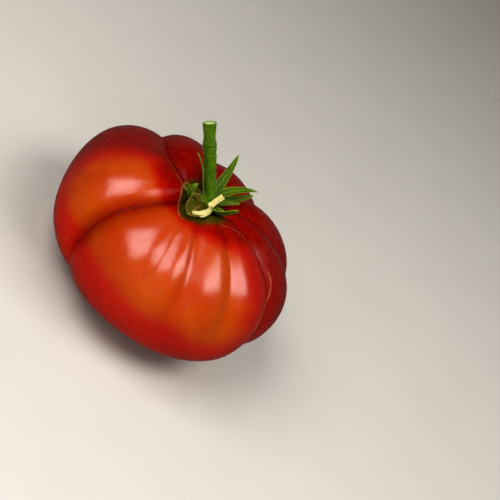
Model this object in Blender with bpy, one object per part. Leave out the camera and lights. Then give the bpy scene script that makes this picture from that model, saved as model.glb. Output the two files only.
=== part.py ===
"""A ribbed beefsteak tomato, as picked: the fruit, and its calyx with a cut length of stalk.

The fruit stands upright on a small flat spot. The origin is the middle of that spot, +Z runs up
the stem axis, and -Y is the front. Azimuths are in degrees about +Z: 0 is +X (right), 90 is +Y
(back), 180 is -X (left) and 270 is -Y (front). Polar angles run from 0 at the stem end to 180 at
the blossom end. Shapes are worked out in millimetres and stored in metres.
"""

import math
from collections import namedtuple

import bmesh
import bpy
import numpy as np

MM = 0.001
Crease = namedtuple("Crease", "azimuth bend depth before after fades gone sharpness")
Sepal = namedtuple("Sepal", "azimuth length width tip_share root_slope middle_slope tip_slope sweep")

# Fruit: smooth body
PLAN_RADII = (61.0, 61.5, 57.0, 63.5, 56.0, 56.5, 57.5, 58.5)  # each 45 degrees, from azimuth 0
SHOULDER_HEIGHT = 35.5  # from the body's centre up to the shoulders
BASE_DEPTH = 33.0  # from the body's centre down to the blossom end
SHOULDER_POWER = 2.25  # roundness of the upper half; 2 is an ellipse
BASE_POWER = 2.3
BLEND_HEIGHT = 0.3  # the two powers blend where the cosine of the polar angle is within this
FLAT_SPOT_CUT = 0.5  # how much of the blossom end is lost to the flat spot

# Fruit: stem cavity
CAVITY_DEPTH = 7.5
CAVITY_ANGLE = 22.0  # polar angle where the cavity's wall is halfway up
CAVITY_POWER = 3.0
STEM_OFFSET = (-0.6, -3.8)  # x and y of the stem end, which is drawn over to the front
STEM_REACH = 46.0  # the skin this far from the axis is not drawn over

# Fruit: creases between the lobes. The azimuth is where one crosses the equator, and the line
# bends by the second angle towards the stem end. The depth is a share of the radius. The widths
# before and after it are in degrees, and it fades between the two polar angles. A sharpness of 1
# is a cusp, and 2 a round valley.
CREASES = (
    Crease(22.0, 8.0, 0.10, 15.0, 15.0, 95.0, 150.0, 1.15),
    Crease(62.0, 5.0, 0.11, 14.0, 14.0, 95.0, 150.0, 1.15),
    Crease(97.0, 20.0, 0.08, 13.0, 13.0, 95.0, 150.0, 1.15),
    Crease(130.0, 60.0, 0.13, 14.0, 16.0, 95.0, 150.0, 1.15),
    Crease(234.0, 12.0, 0.17, 10.5, 18.0, 86.0, 135.0, 1.15),
    Crease(275.0, -16.0, 0.035, 5.0, 9.0, 72.0, 100.0, 1.5),
    Crease(292.0, -18.0, 0.055, 5.0, 10.0, 70.0, 102.0, 1.7),
    Crease(316.0, -5.0, 0.045, 7.0, 6.5, 70.0, 102.0, 1.7),
    Crease(347.0, 8.0, 0.085, 12.0, 13.0, 100.0, 155.0, 1.15),
)
CREASE_START = 8.0  # polar angle where a crease begins
CREASE_FULL = 30.0  # polar angle where it has its full depth

# Fruit: faces
COLUMN_STEP = 4.6  # degrees of azimuth, before columns are drawn towards the creases
COLUMN_PULL = 0.55  # 0 spaces columns evenly, 1 crowds them at the creases
CAVITY_ROWS = 11
SIDE_ROWS = 22
CAVITY_EDGE = 40.0  # polar angle where the cavity's rows end
FEWEST_COLUMNS = 3  # between two creases

# Stalk
STALK_RADIUS = 2.4
STALK_LENGTH = 34.0
STALK_LEAN = 41.0  # degrees off the stem axis
STALK_AZIMUTH = 172.0
STALK_BEND_SHARE = 0.11  # share of the length over which it turns to its lean
STALK_SIDES = 14
STALK_RINGS = 13
STALK_END_FLARE = 0.5  # what the cut end adds to the radius
STALK_END_SHARE = 0.2
KNUCKLE_RADIUS = 0.7  # what the stalk's joint adds to the radius
KNUCKLE_PLACE = 0.7  # share of the length
KNUCKLE_SHARE = 0.07
FLARE_RADIUS = 2.0  # what the foot adds to the radius
FLARE_HEIGHT = 2.4
RECEPTACLE_RADIUS = 5.2
RECEPTACLE_HEIGHT = 1.5
FOOT_SHARES = (0.35, 0.7, 1.0)  # radii of the rings under the receptacle
FRUIT_GAP = 0.35

# Sepals. The tip's share is of the full width, the slopes are in degrees above the level, and
# the sweep carries the tip sideways.
SEPALS = (
    Sepal(16.0, 12.5, 3.4, 0.3, 25.0, 38.0, 30.0, 1.0),
    Sepal(318.0, 17.0, 8.0, 0.3, -5.0, 40.0, 90.0, 4.0),
    Sepal(42.0, 21.0, 5.0, 0.2, 12.0, 24.0, 34.0, 3.0),
    Sepal(60.0, 24.0, 4.2, 0.2, 52.0, 20.0, 4.0, -3.0),
    Sepal(90.0, 24.0, 4.4, 0.2, 30.0, 45.0, 60.0, 3.0),
    Sepal(132.0, 20.0, 4.2, 0.2, 20.0, 45.0, 40.0, -2.0),
    Sepal(204.0, 24.0, 2.6, 0.3, 52.0, 55.0, 32.0, 0.0),
    Sepal(242.0, 22.0, 4.5, 0.3, -5.0, 24.0, 125.0, 0.0),
    Sepal(228.0, 13.5, 8.6, 0.5, 0.0, 5.0, 20.0, -1.0),
    Sepal(266.0, 22.5, 11.0, 0.5, 0.0, 5.0, 10.0, 0.0),
)
SEPAL_ROOT = 1.8  # where a sepal starts inside the receptacle
SEPAL_ROOT_HEIGHT = 0.9  # its middle above the receptacle's underside
SEPAL_STATIONS = 12
SEPAL_CUP = 0.22  # how far the edges stand above the keel, as a share of the width
SEPAL_WIDEST = 0.3  # share of the length where a sepal is widest
SEPAL_ROOT_SHARE = 0.6  # width at the root as a share of the full width
SEPAL_TAPER = 1.6  # 1 narrows evenly to the tip, more keeps the width for longer

# Blades, which are the sepals and the withered strip
BLADE_THICKNESS = 0.75
BLADE_CLEARANCE = 0.85  # from the skin to a blade's middle surface
PLACES = np.linspace(-1.0, 1.0, 5)  # points across a blade, as shares of its half width

# Withered strip that grows from the front of the receptacle and lies over the cavity's wall:
# (x and y from the stem end, height above the clear skin) of the points of its middle line
STRIP_LINE = (
    (4.2, -0.4, 8.0), (2.8, -3.2, 2.2), (3.8, -9.0, 0.6), (3.6, -14.5, 0.5), (2.0, -18.6, 0.5),
    (-1.0, -20.6, 1.0),
)
STRIP_WIDTHS = (2.6, 2.8, 2.4, 2.8, 2.8, 1.2)
STRIP_STATIONS = 13

# How the height of the skin under the calyx is found
MERIDIAN_END = 70.0  # polar angle
MERIDIAN_POINTS = 200
UNDRAW_STEPS = 6  # each brings the point before the drawing over about ten times nearer
BALL_SHARES = (0.5, 0.9)  # a ball of the gap's radius is tried at these shares of its radius
BALL_TURNS = np.arange(0.0, 360.0, 45.0)

# Materials: colour, roughness
SKIN = ((0.62, 0.035, 0.008, 1.0), 0.22)
GREEN = ((0.10, 0.20, 0.025, 1.0), 0.6)


def smooth(share):
    """A step from 0 to 1 with no corners."""
    share = np.clip(share, 0.0, 1.0)
    return share * share * (3.0 - 2.0 * share)


def turned(angle):
    """An angle in radians brought between minus pi and pi."""
    return (angle + np.pi) % (2.0 * np.pi) - np.pi


def plan_radius(azimuth):
    """A smooth closed curve through PLAN_RADII, by its Fourier sum."""
    count = len(PLAN_RADII)
    terms = np.fft.rfft(PLAN_RADII) / count
    radius = np.full_like(azimuth, terms[0].real)
    for k in range(1, len(terms)):
        weight = 2.0 if 2 * k < count else 1.0
        wave = terms[k].real * np.cos(k * azimuth) - terms[k].imag * np.sin(k * azimuth)
        radius = radius + weight * wave
    return radius


def crease_line(crease, polar):
    """Azimuth of a crease at each polar angle: it bends above the equator."""
    above = np.maximum(np.cos(polar), 0.0)
    return math.radians(crease.azimuth) + math.radians(crease.bend) * above * above


def crease_share(azimuth, polar):
    """How much of the radius the creases take away at each point."""
    taken = np.zeros_like(azimuth)
    start = smooth((np.degrees(polar) - CREASE_START) / (CREASE_FULL - CREASE_START))
    for crease in CREASES:
        off = turned(azimuth - crease_line(crease, polar))
        width = np.where(off < 0.0, math.radians(crease.before), math.radians(crease.after))
        valley = np.exp(-((np.abs(off) / width) ** crease.sharpness))
        fade = 1.0 - smooth((np.degrees(polar) - crease.fades) / (crease.gone - crease.fades))
        taken = taken + crease.depth * valley * fade * start
    return taken


def centred_point(azimuth, polar):
    """Points of the skin for angles in radians, before the stem end is drawn over."""
    level = np.cos(polar)
    height = np.where(level > 0.0, SHOULDER_HEIGHT, BASE_DEPTH)
    upper = smooth(0.5 + 0.5 * level / BLEND_HEIGHT)
    power = BASE_POWER + (SHOULDER_POWER - BASE_POWER) * upper
    across = (np.sin(polar) / plan_radius(azimuth)) ** power
    along = (np.abs(level) / height) ** power
    radius = (across + along) ** (-1.0 / power)
    radius = radius * (1.0 - crease_share(azimuth, polar))
    dip = np.exp(-((polar / math.radians(CAVITY_ANGLE)) ** CAVITY_POWER))
    radius = radius - CAVITY_DEPTH * dip
    x = radius * np.sin(polar) * np.cos(azimuth)
    y = radius * np.sin(polar) * np.sin(azimuth)
    z = radius * level + BASE_DEPTH - FLAT_SPOT_CUT
    return np.stack([x, y, np.maximum(z, 0.0)], axis=-1)


def drawn_share(x, y):
    """How much of the stem end's offset a point of the upper half takes."""
    return 1.0 - smooth(np.hypot(x, y) / STEM_REACH)


def fruit_point(azimuth, polar):
    """Points of the finished skin for angles in radians."""
    points = centred_point(azimuth, polar)
    upper = points[..., 2] > BASE_DEPTH
    share = drawn_share(points[..., 0], points[..., 1]) * upper
    points[..., :2] += share[..., None] * np.array(STEM_OFFSET)
    return points


def skin_height(x, y):
    """Height of the cavity or shoulder above each point (x, y) near the stem end."""
    polar = np.radians(np.linspace(0.0, MERIDIAN_END, MERIDIAN_POINTS))
    before_x, before_y = x, y
    for _ in range(UNDRAW_STEPS):
        share = drawn_share(before_x, before_y)
        before_x, before_y = x - share * STEM_OFFSET[0], y - share * STEM_OFFSET[1]
    azimuth = np.arctan2(before_y, before_x)
    heights = []
    for heading, reach in zip(np.ravel(azimuth), np.ravel(np.hypot(before_x, before_y))):
        line = centred_point(np.full_like(polar, heading), polar)
        heights.append(np.interp(reach, np.hypot(line[:, 0], line[:, 1]), line[:, 2]))
    return np.reshape(heights, np.shape(x))


def clear_height(x, y, gap):
    """Lowest height over (x, y) that is a gap away from the skin, also beside a steep wall."""
    height = skin_height(x, y) + gap
    for share in BALL_SHARES:
        reach = gap * share
        rise = gap * math.sqrt(1.0 - share * share)
        for turn in np.radians(BALL_TURNS):
            beside = skin_height(x + reach * np.cos(turn), y + reach * np.sin(turn))
            height = np.maximum(height, beside + rise)
    return height


def azimuth_grid(polar):
    """Azimuths for rows of polar angles: a column along each crease, and closer ones beside it."""
    lines = [crease_line(crease, polar) for crease in CREASES]
    lines.append(lines[0] + 2.0 * math.pi)
    columns = []
    for before, after in zip(lines, lines[1:]):
        count = max(FEWEST_COLUMNS, round(math.degrees(after[-1] - before[-1]) / COLUMN_STEP))
        even = np.arange(count) / count
        crowded = 0.5 - 0.5 * np.cos(math.pi * even)
        for share in even + COLUMN_PULL * (crowded - even):
            columns.append(before + (after - before) * share)
    return np.stack(columns, axis=-1)


def fruit_rows():
    """Polar angles of the fruit's rows, without the two poles."""
    edge = math.radians(CAVITY_EDGE)
    cavity = np.linspace(0.0, edge, CAVITY_ROWS + 1)[1:]
    side = np.linspace(edge, math.pi, SIDE_ROWS + 2)[1:-1]
    return np.concatenate([cavity, side])


def add_object(name, mesh, material):
    """A named object for a mesh, in the scene."""
    mesh.materials.append(material)
    thing = bpy.data.objects.new(name, mesh)
    bpy.context.scene.collection.objects.link(thing)
    return thing


def mesh_of(name, points, faces):
    """A mesh from points in millimetres."""
    mesh = bpy.data.meshes.new(name)
    mesh.from_pydata([tuple(p * MM) for p in points], [], faces)
    mesh.validate()
    mesh.update()
    return mesh


def material_of(name, colour, roughness):
    """A plain Principled BSDF."""
    material = bpy.data.materials.new(name)
    material.use_nodes = True
    shader = material.node_tree.nodes["Principled BSDF"]
    shader.inputs["Base Color"].default_value = colour
    shader.inputs["Roughness"].default_value = roughness
    shader.inputs["Metallic"].default_value = 0.0
    return material


def build_fruit():
    """The whole fruit, as one closed skin of rings between the two poles."""
    rows = fruit_rows()
    azimuth = azimuth_grid(rows)
    rings = fruit_point(azimuth, np.repeat(rows[:, None], azimuth.shape[1], axis=1)).reshape(-1, 3)
    poles = fruit_point(np.zeros(2), np.array([0.0, math.pi]))
    points = np.vstack([rings, poles])
    width = azimuth.shape[1]
    last = len(rings) - width
    top, bottom = len(rings), len(rings) + 1
    faces = []
    for i in range(width):
        j = (i + 1) % width
        faces.append((top, i, j))
        faces.append((bottom, last + j, last + i))
        for row in range(0, last, width):
            faces.append((row + i, row + width + i, row + width + j))
            faces.append((row + i, row + width + j, row + j))
    fruit = closed_object("fruit", points, faces, material_of("skin", *SKIN))
    fruit.data.shade_smooth()


def heading_of(azimuth):
    """Unit vectors outwards and sideways for an azimuth in degrees."""
    turn = math.radians(azimuth)
    out = np.array([math.cos(turn), math.sin(turn), 0.0])
    side = np.array([-math.sin(turn), math.cos(turn), 0.0])
    return out, side


def receptacle_base():
    """Middle of the receptacle, level with the skin under its rim."""
    return np.array([*STEM_OFFSET, foot_ring(1.0)[:, 2].max()])


def stalk_path(base):
    """Centre points of the stalk and its direction at each."""
    shares = np.linspace(0.0, 1.0, STALK_RINGS)
    lean = math.radians(STALK_LEAN) * smooth(shares / STALK_BEND_SHARE)
    out = heading_of(STALK_AZIMUTH)[0]
    directions = np.sin(lean)[:, None] * out + np.cos(lean)[:, None] * np.array([0.0, 0.0, 1.0])
    steps = np.cumsum(directions[:-1], axis=0) * STALK_LENGTH / (STALK_RINGS - 1)
    centres = base + [0.0, 0.0, RECEPTACLE_HEIGHT] + np.vstack([np.zeros(3), steps])
    return centres, directions


def stalk_radius(share):
    """Radius at a share of the stalk's length: its flared foot, its joint and its cut end."""
    flare = FLARE_RADIUS * math.exp(-share * STALK_LENGTH / FLARE_HEIGHT)
    knuckle = KNUCKLE_RADIUS * math.exp(-(((share - KNUCKLE_PLACE) / KNUCKLE_SHARE) ** 2))
    end = STALK_END_FLARE * smooth(1.0 - (1.0 - share) / STALK_END_SHARE)
    return STALK_RADIUS + flare + knuckle + end


def stalk_ring(centre, direction, radius):
    """One ring square to a direction, starting on its +X side and turning to the left."""
    ahead = np.cross(direction, [1.0, 0.0, 0.0])
    ahead = ahead / np.linalg.norm(ahead)
    side = np.cross(ahead, direction)
    turns = 2.0 * math.pi * np.arange(STALK_SIDES) / STALK_SIDES
    return centre + radius * (np.cos(turns)[:, None] * side + np.sin(turns)[:, None] * ahead)


def foot_ring(share):
    """One ring under the receptacle, a gap above the cavity's floor."""
    stem = np.array([*STEM_OFFSET, 0.0])
    ring = stalk_ring(stem, np.array([0.0, 0.0, 1.0]), RECEPTACLE_RADIUS * share)
    ring[:, 2] = clear_height(ring[:, 0], ring[:, 1], FRUIT_GAP)
    return ring


def build_stalk(base, material):
    """The receptacle, its flared foot and the stalk up to its cut end, in one closed tube."""
    centres, directions = stalk_path(base)
    rings = [foot_ring(share) for share in FOOT_SHARES]
    for k, (centre, direction) in enumerate(zip(centres, directions)):
        share = k / (STALK_RINGS - 1)
        rings.append(stalk_ring(centre, direction, stalk_radius(share)))
    below = foot_ring(0.0)[:1]
    points = np.vstack(rings + [below, centres[-1:]])
    under, over = len(points) - 2, len(points) - 1
    last = (len(rings) - 1) * STALK_SIDES
    faces = []
    for i in range(STALK_SIDES):
        j = (i + 1) % STALK_SIDES
        faces.append((under, j, i))
        faces.append((over, last + i, last + j))
        for row in range(0, last, STALK_SIDES):
            faces.append((row + i, row + j, row + STALK_SIDES + j))
            faces.append((row + i, row + STALK_SIDES + j, row + STALK_SIDES + i))
    return closed_object("calyx_and_stalk", points, faces, material)


def sepal_width(sepal, share):
    """Full width of a sepal at a share of its length, narrowing to the tip."""
    if share < SEPAL_WIDEST:
        swell = float(smooth(share / SEPAL_WIDEST))
        return sepal.width * (SEPAL_ROOT_SHARE + (1.0 - SEPAL_ROOT_SHARE) * swell)
    beyond = (share - SEPAL_WIDEST) / (1.0 - SEPAL_WIDEST)
    return sepal.width * (1.0 - (1.0 - sepal.tip_share) * beyond ** SEPAL_TAPER)


def lifted_clear(points):
    """The points, raised where they would be too near the skin for a blade."""
    floor = clear_height(points[..., 0], points[..., 1], BLADE_CLEARANCE)
    return np.concatenate([points[..., :2], np.maximum(points[..., 2], floor)[..., None]], axis=-1)


def sepal_middle(base, sepal):
    """Rows of points across a sepal's middle surface, clear of the skin below it."""
    out, side = heading_of(sepal.azimuth)
    slopes = (sepal.root_slope, sepal.middle_slope, sepal.tip_slope)
    steps = SEPAL_STATIONS - 1
    spot = base + out * SEPAL_ROOT + [0.0, 0.0, SEPAL_ROOT_HEIGHT]
    rows = []
    for share in np.linspace(0.0, 1.0, SEPAL_STATIONS):
        across = sepal_width(sepal, share)
        row = spot + 0.5 * across * PLACES[:, None] * side
        row[:, 2] += SEPAL_CUP * across * PLACES * PLACES
        rows.append(lifted_clear(row))
        slope = math.radians(float(np.interp(share, (0.0, 0.5, 1.0), slopes)))
        ahead = out * math.cos(slope) + np.array([0.0, 0.0, math.sin(slope)])
        drift = side * 2.0 * sepal.sweep * share / steps
        spot = rows[-1][len(PLACES) // 2] + ahead * sepal.length / steps + drift
    return np.array(rows)


def strip_middle(base):
    """Rows of points across the withered strip, which bends round the receptacle's front."""
    guide = np.array(STRIP_LINE)
    guide[:, :2] += STEM_OFFSET
    guide[:, 2] += clear_height(guide[:, 0], guide[:, 1], BLADE_CLEARANCE)
    shares = np.linspace(0.0, len(guide) - 1.0, STRIP_STATIONS)
    line = np.stack([curve_through(shares, guide[:, k]) for k in range(3)], axis=-1)
    widths = np.interp(shares, range(len(guide)), STRIP_WIDTHS)
    ahead = np.gradient(line, axis=0)
    facing = line - (base - [0.0, 0.0, RECEPTACLE_RADIUS])
    across = np.cross(facing, ahead)
    across = across / np.linalg.norm(across, axis=1, keepdims=True)
    places = 0.5 * widths[:, None, None] * PLACES[None, :, None]
    return lifted_clear(line[:, None, :] + places * across[:, None, :])


def curve_through(shares, values):
    """A smooth curve through evenly spaced values (Catmull-Rom)."""
    ends = np.concatenate([[2.0 * values[0] - values[1]], values, [2.0 * values[-1] - values[-2]]])
    start = np.clip(np.floor(shares).astype(int), 0, len(values) - 2)
    t = shares - start
    a, b, c, d = (ends[start + k] for k in range(4))
    return b + 0.5 * t * (c - a + t * (2.0 * a - 5.0 * b + 4.0 * c - d + t * (3.0 * (b - c) + d - a)))


def build_blade(name, middle, material):
    """A thin blade round a middle surface, both faces split into triangles alike."""
    normal = np.cross(np.gradient(middle, axis=0), np.gradient(middle, axis=1))
    normal = normal / np.linalg.norm(normal, axis=-1, keepdims=True)
    half = 0.5 * BLADE_THICKNESS * normal
    points = np.vstack([(middle + half).reshape(-1, 3), (middle - half).reshape(-1, 3)])
    count, wide = middle.shape[:2]
    under = count * wide
    faces = []
    for row in range(count - 1):
        for place in range(wide - 1):
            a = row * wide + place
            b, c, d = a + 1, a + wide + 1, a + wide
            faces += [(a, d, c), (a, c, b)]
            faces += [(under + a, under + c, under + d), (under + a, under + b, under + c)]
    rim = [row * wide for row in range(count)]
    rim += [(count - 1) * wide + place for place in range(1, wide)]
    rim += [row * wide + wide - 1 for row in range(count - 2, -1, -1)]
    rim += [place for place in range(wide - 2, 0, -1)]
    for a, b in zip(rim, rim[1:] + rim[:1]):
        faces += [(a, under + b, b), (a, under + a, under + b)]
    return closed_object(name, points, faces, material)


def closed_object(name, points, faces, material):
    """An object for a closed mesh, with every face pointing outwards."""
    thing = add_object(name, mesh_of(name, points, faces), material)
    shape = bmesh.new()
    shape.from_mesh(thing.data)
    bmesh.ops.recalc_face_normals(shape, faces=shape.faces)
    shape.to_mesh(thing.data)
    shape.free()
    return thing


def grow_together(body, blades):
    """Joins the blades to the body they grow from, and drops the loose copies."""
    group = bpy.data.collections.new("blades")
    bpy.context.scene.collection.children.link(group)
    for blade in blades:
        bpy.context.scene.collection.objects.unlink(blade)
        group.objects.link(blade)
    union = body.modifiers.new("grown_on", "BOOLEAN")
    union.operation = "UNION"
    union.operand_type = "COLLECTION"
    union.collection = group
    bpy.context.view_layer.update()
    graph = bpy.context.evaluated_depsgraph_get()
    joined = bpy.data.meshes.new_from_object(body.evaluated_get(graph))
    body.modifiers.clear()
    body.data = joined
    for blade in blades:
        bpy.data.objects.remove(blade)
    bpy.data.collections.remove(group)


def keep_outer_skin(thing):
    """Fills what the joining sealed off and drops loose scraps: only the largest skin stays."""
    shape = bmesh.new()
    shape.from_mesh(thing.data)
    waiting = set(shape.verts)
    skins = []
    while waiting:
        skin = {waiting.pop()}
        edge = list(skin)
        while edge:
            vertex = edge.pop()
            fresh = {side.other_vert(vertex) for side in vertex.link_edges} - skin
            skin |= fresh
            edge.extend(fresh)
        waiting -= skin
        skins.append(skin)
    skins.sort(key=len)
    for skin in skins[:-1]:
        bmesh.ops.delete(shape, geom=list(skin), context="VERTS")
    shape.to_mesh(thing.data)
    shape.free()


def build_calyx():
    """The stalk with its sepals and the withered strip grown on, as one body."""
    material = material_of("green", *GREEN)
    base = receptacle_base()
    calyx = build_stalk(base, material)
    blades = [build_blade("withered_strip", strip_middle(base), material)]
    for index, sepal in enumerate(SEPALS):
        blades.append(build_blade(f"sepal_{index}", sepal_middle(base, sepal), material))
    grow_together(calyx, blades)
    keep_outer_skin(calyx)
    calyx.data.shade_smooth()


def main():
    for thing in list(bpy.data.objects):
        bpy.data.objects.remove(thing)
    build_fruit()
    build_calyx()


main()
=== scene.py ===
import math
import random
from collections import namedtuple

import bmesh
import bpy
import numpy as np
from mathutils import Matrix, Vector, noise


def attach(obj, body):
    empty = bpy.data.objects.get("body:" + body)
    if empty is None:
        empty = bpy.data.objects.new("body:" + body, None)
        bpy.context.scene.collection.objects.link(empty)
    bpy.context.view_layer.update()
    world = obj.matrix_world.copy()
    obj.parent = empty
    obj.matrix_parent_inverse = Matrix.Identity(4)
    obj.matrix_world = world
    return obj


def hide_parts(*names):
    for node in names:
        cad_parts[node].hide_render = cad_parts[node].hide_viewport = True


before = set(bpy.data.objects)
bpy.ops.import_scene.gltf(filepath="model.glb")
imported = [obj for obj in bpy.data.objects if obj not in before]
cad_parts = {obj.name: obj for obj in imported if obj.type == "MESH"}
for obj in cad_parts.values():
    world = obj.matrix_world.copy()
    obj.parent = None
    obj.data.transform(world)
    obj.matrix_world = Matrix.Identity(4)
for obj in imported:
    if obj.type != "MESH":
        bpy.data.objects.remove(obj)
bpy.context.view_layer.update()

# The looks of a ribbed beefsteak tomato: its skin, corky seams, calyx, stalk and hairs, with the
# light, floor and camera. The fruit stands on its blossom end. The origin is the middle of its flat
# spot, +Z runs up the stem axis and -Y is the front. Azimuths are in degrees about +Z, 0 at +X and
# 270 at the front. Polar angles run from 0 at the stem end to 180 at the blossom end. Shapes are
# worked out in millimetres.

MM = 0.001
BODY = "root"
Crease = namedtuple("Crease", "azimuth bend depth before after fades gone sharpness")
Sepal = namedtuple(
    "Sepal", "azimuth length width tip_share root_slope middle_slope tip_slope sweep"
)
Seam = namedtuple("Seam", "name width height guide")
Lamp = namedtuple("Lamp", "elevation sideways distance width height power shines")
Surface = namedtuple("Surface", "patch grain detail relief roughness")


def colour(red, green, blue):
    """A linear colour from the 0 to 255 values that a picture shows."""
    shares = np.array([red, green, blue]) / 255.0  # the numbers below are those of the sRGB curve
    linear = np.where(shares <= 0.04045, shares / 12.92, ((shares + 0.055) / 1.055) ** 2.4)
    return (*linear.tolist(), 1.0)


# Camera, as the photograph sees the fruit
VIEW_ELEVATION = 32.0
VIEW_ROLL = 42.4  # the stem axis leans to the right in the picture
VIEW_DISTANCE = 620.0
SCALE = 0.44  # millimetres per pixel at the fruit
IMAGE_SIZE = 500
SENSOR = 36.0
FRUIT_PIXEL = (171.2, 240.9)  # where the fruit's centre lies in the picture
VIEW_CENTRE = (0.0, 0.0, 33.0)

# Fruit: smooth body. Powers above 2 make its side view squarer than an ellipse.
PLAN_RADII = (61.0, 61.5, 57.0, 63.5, 56.0, 56.5, 57.5, 58.5)  # each 45 degrees, from azimuth 0
SHOULDER_HEIGHT = 35.5
BASE_DEPTH = 33.0  # from the body's centre down to the blossom end
SHOULDER_POWER = 2.25
BASE_POWER = 2.3
BLEND_HEIGHT = 0.3  # over which one power turns into the other, as a share of the height
FLAT_SPOT_CUT = 0.5
CAVITY_DEPTH = 7.5
CAVITY_ANGLE = 22.0
CAVITY_POWER = 3.0
STEM_OFFSET = (-0.6, -3.8)  # x and y of the stem end
STEM_REACH = 46.0  # the skin this far from the axis is not drawn over with it

# Fruit: creases between the lobes. The azimuth is where one crosses the equator, and the line
# bends by the second angle towards the stem end. The depth is a share of the radius. Then come the
# widths on both sides of the line, the polar angles where it fades and is gone, and its sharpness.
CREASES = (
    Crease(22.0, 8.0, 0.10, 15.0, 15.0, 95.0, 150.0, 1.15),
    Crease(62.0, 5.0, 0.11, 14.0, 14.0, 95.0, 150.0, 1.15),
    Crease(97.0, 20.0, 0.08, 13.0, 13.0, 95.0, 150.0, 1.15),
    Crease(130.0, 60.0, 0.13, 14.0, 16.0, 95.0, 150.0, 1.15),
    Crease(234.0, 12.0, 0.17, 10.5, 18.0, 86.0, 135.0, 1.15),
    Crease(275.0, -16.0, 0.035, 5.0, 9.0, 72.0, 100.0, 1.5),
    Crease(292.0, -18.0, 0.055, 5.0, 10.0, 70.0, 102.0, 1.7),
    Crease(316.0, -5.0, 0.045, 7.0, 6.5, 70.0, 102.0, 1.7),
    Crease(347.0, 8.0, 0.085, 12.0, 13.0, 100.0, 155.0, 1.15),
)
CREASE_START = 8.0  # polar angle where the creases begin
CREASE_FULL = 30.0  # and where they are at their full depth
DEEPEST = max(crease.depth for crease in CREASES)
GROOVE_DEPTH = 0.08  # creases at least this deep have a line of painted shade along their bottom
GROOVE_WIDTH = 1.3  # degrees

# Fruit: fine faces
COLUMN_STEP = 0.93  # degrees between columns, on average
COLUMN_PULL = 0.45  # how much closer they are beside the creases
CAVITY_ROWS = 70
SIDE_ROWS = 170
CAVITY_EDGE = 40.0  # polar angle where the rows of the cavity end

# Fruit: low relief and the places of its colours, with its painted light and painted shade
LUMPS = ((0.26, 17.0, 0.0), (0.07, 7.0, 10.0))  # height, wavelength, seed
RIPPLE_HEIGHT = 0.09  # of the fine waves that run down from the stem end
RIPPLE_TURNS = 12.0  # the waves are about 1/12 of a radian apart
RIPPLE_DRIFT = 0.15  # how fast they change on their way down
RIPPLE_SEED = 30.0
RIPPLE_END = 100.0  # polar angle where they have died out
RIPPLE_FADE = 45.0  # degrees over which they do
SCAR_RADIUS = 2.6
SCAR_DEPTH = 0.5
OLIVE_EDGE = (  # azimuth, polar angle where the olive tint round the calyx ends
    (20.0, 17.0), (120.0, 17.0), (190.0, 21.0), (215.0, 24.0), (235.0, 28.0), (246.0, 32.5),
    (256.0, 40.0), (263.0, 41.5), (272.0, 39.5), (280.0, 36.0), (297.0, 30.0), (316.0, 25.5),
    (340.0, 19.0),
)
OLIVE_FADE = 9.0  # degrees
SUN_AZIMUTH = 265.0  # the middle of the orange band: riper skin, and painted light where the front lobes are lit
SUN_WIDTH = 45.0  # degrees to each side
SUN_FADE = 30.0
SUN_TOP = (38.0, 14.0)  # polar angle where the band begins, and the angle over which it does
SUN_BOTTOM = (81.0, 15.0)  # where it begins to end, and the angle over which it does
SHADE_AZIMUTH = 90.0  # the middle of the side darkened with painted shade
SHADE_WIDTH = 85.0
SHADE_FADE = 35.0
SHADE_BOTTOM = (72.0, 55.0)  # where that side begins to end, and the angle over which it does
RIM_END = (30.0, 22.0)  # the same for the rim round the calyx, which is darkened with painted shade and dulled
HALO_WIDTH = 0.8  # of the pale skin beside a seam
HALO_CORK = 0.78  # how corky that skin is

# Corky seams, as (azimuth, polar angle) points from one end to the other
SEAMS = (
    Seam("corky_seam_back", 0.4, 0.1, (
        (174.5, 41.5), (181.0, 36.0), (192.0, 31.0), (204.0, 27.4), (214.5, 24.8),
    )),
    Seam("corky_seam_calyx", 0.7, 0.1, (
        (213.0, 24.6), (225.0, 26.0), (235.0, 28.4), (245.5, 33.0), (255.0, 39.5), (261.0, 42.0),
        (267.0, 41.6),
    )),
    Seam("corky_seam_shoulder", 0.42, 0.08, (
        (306.0, 28.4), (317.0, 27.8), (327.0, 30.0), (338.0, 32.9), (345.0, 38.0), (347.2, 43.4),
        (347.0, 48.3), (343.8, 52.0),
    )),
    Seam("corky_seam_side", 0.8, 0.12, (
        (353.6, 58.0), (353.6, 62.0), (351.8, 66.0), (349.0, 70.0), (344.5, 73.5), (340.2, 77.5),
        (338.0, 82.0), (337.6, 86.5),
    )),
)
SEAM_POINTS = 90
SEAM_PLACES = (-1.0, -0.6, 0.0, 0.6, 1.0)  # points across it, as shares of its half width
SEAM_SINK = 0.25
SEAM_END_POWER = 8  # how late its ends narrow
SEAM_END_LEAST = 0.02
SEAM_WAVES = ((0.4, 1.7, 0.0), (0.15, 0.6, 4.0))  # share of its size, wavelength, seed

# Stalk
STALK_RADIUS = 2.4
STALK_LENGTH = 34.0
STALK_LEAN = 41.0
STALK_AZIMUTH = 172.0
STALK_BEND_SHARE = 0.11
STALK_SIDES = 48
STALK_RINGS = 150
STALK_END_FLARE = 0.5
STALK_END_SHARE = 0.2
KNUCKLE_RADIUS = 0.7  # the joint is thicker than the stalk by this
KNUCKLE_PLACE = 0.7  # its place and width are shares of the stalk's length
KNUCKLE_SHARE = 0.07
KNUCKLE_GROOVE = 0.45  # depth of the joint's groove
KNUCKLE_GROOVE_SHARE = 0.009
FLARE_RADIUS = 2.0  # the foot is thicker by this
FLARE_HEIGHT = 2.4
RECEPTACLE_RADIUS = 5.2
RECEPTACLE_HEIGHT = 1.5
FOOT_SHARES = (0.05, 0.35, 0.7, 1.0)
FRUIT_GAP = 0.35
RIDGES = 5  # low ridges along the stalk
RIDGE_HEIGHT = 0.13
RIDGE_TWIST = 0.02  # radians for each millimetre of height
STALK_WAVES = ((0.12, 5.0, 0.0), (0.06, 1.6, 0.0))  # height, wavelength, seed
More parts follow.
